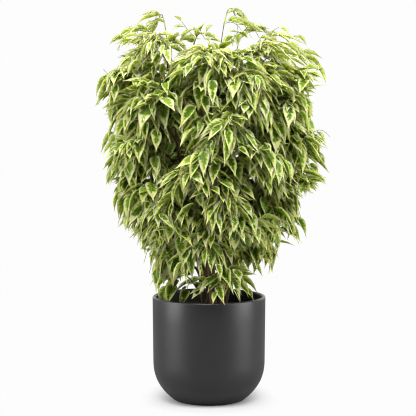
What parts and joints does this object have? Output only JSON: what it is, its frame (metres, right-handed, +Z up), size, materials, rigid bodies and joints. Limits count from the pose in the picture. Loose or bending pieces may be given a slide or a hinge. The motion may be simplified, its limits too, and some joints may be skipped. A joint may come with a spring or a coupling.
{
  "type": "potted weeping fig",
  "caption": "Weeping fig with cream-edged hanging leaves on slender brown stems, in a matt charcoal pot with a deep round corner",
  "frame": {"origin": "The middle of the pot's flat foot, on the surface that it stands on", "axes": "+Z up along the stems, the front faces -Y, +X to the right seen from the front"},
  "size_m": [0.7041, 0.7014, 1.1555],
  "materials": {
    "pot_shell": "matte",
    "potting_soil": "matte",
    "bark": "matte",
    "variegated_leaf": "satin"
  },
  "bodies": {
    "root": {"pot": "pot_shell", "soil": "potting_soil", "stem_1": "bark", "stem_2": "bark", "stem_3": "bark", "stem_4": "bark", "stem_5": "bark", "spray_01": "variegated_leaf", "spray_02": "variegated_leaf", "spray_03": "variegated_leaf", "spray_04": "variegated_leaf", "spray_05": "variegated_leaf", "spray_06": "variegated_leaf", "spray_07": "variegated_leaf", "spray_08": "variegated_leaf", "spray_09": "variegated_leaf", "spray_10": "variegated_leaf", "spray_11": "variegated_leaf", "spray_12": "variegated_leaf", "spray_13": "variegated_leaf", "spray_14": "variegated_leaf", "spray_15": "variegated_leaf", "spray_16": "variegated_leaf", "spray_17": "variegated_leaf", "spray_18": "variegated_leaf", "spray_19": "variegated_leaf", "spray_20": "variegated_leaf", "spray_21": "variegated_leaf", "spray_22": "variegated_leaf", "spray_23": "variegated_leaf", "spray_24": "variegated_leaf", "spray_25": "variegated_leaf", "spray_26": "variegated_leaf", "spray_27": "variegated_leaf", "spray_28": "variegated_leaf", "spray_29": "variegated_leaf", "spray_30": "variegated_leaf", "spray_31": "variegated_leaf", "spray_32": "variegated_leaf", "spray_33": "variegated_leaf", "spray_34": "variegated_leaf", "spray_35": "variegated_leaf", "spray_36": "variegated_leaf", "spray_37": "variegated_leaf", "spray_38": "variegated_leaf", "spray_39": "variegated_leaf", "spray_40": "variegated_leaf", "spray_41": "variegated_leaf", "spray_42": "variegated_leaf", "spray_43": "variegated_leaf", "spray_44": "variegated_leaf", "spray_45": "variegated_leaf", "spray_46": "variegated_leaf", "spray_47": "variegated_leaf", "spray_48": "variegated_leaf", "spray_49": "variegated_leaf", "spray_50": "variegated_leaf", "spray_51": "variegated_leaf", "spray_52": "variegated_leaf", "spray_53": "variegated_leaf"}
  },
  "joints": []
}
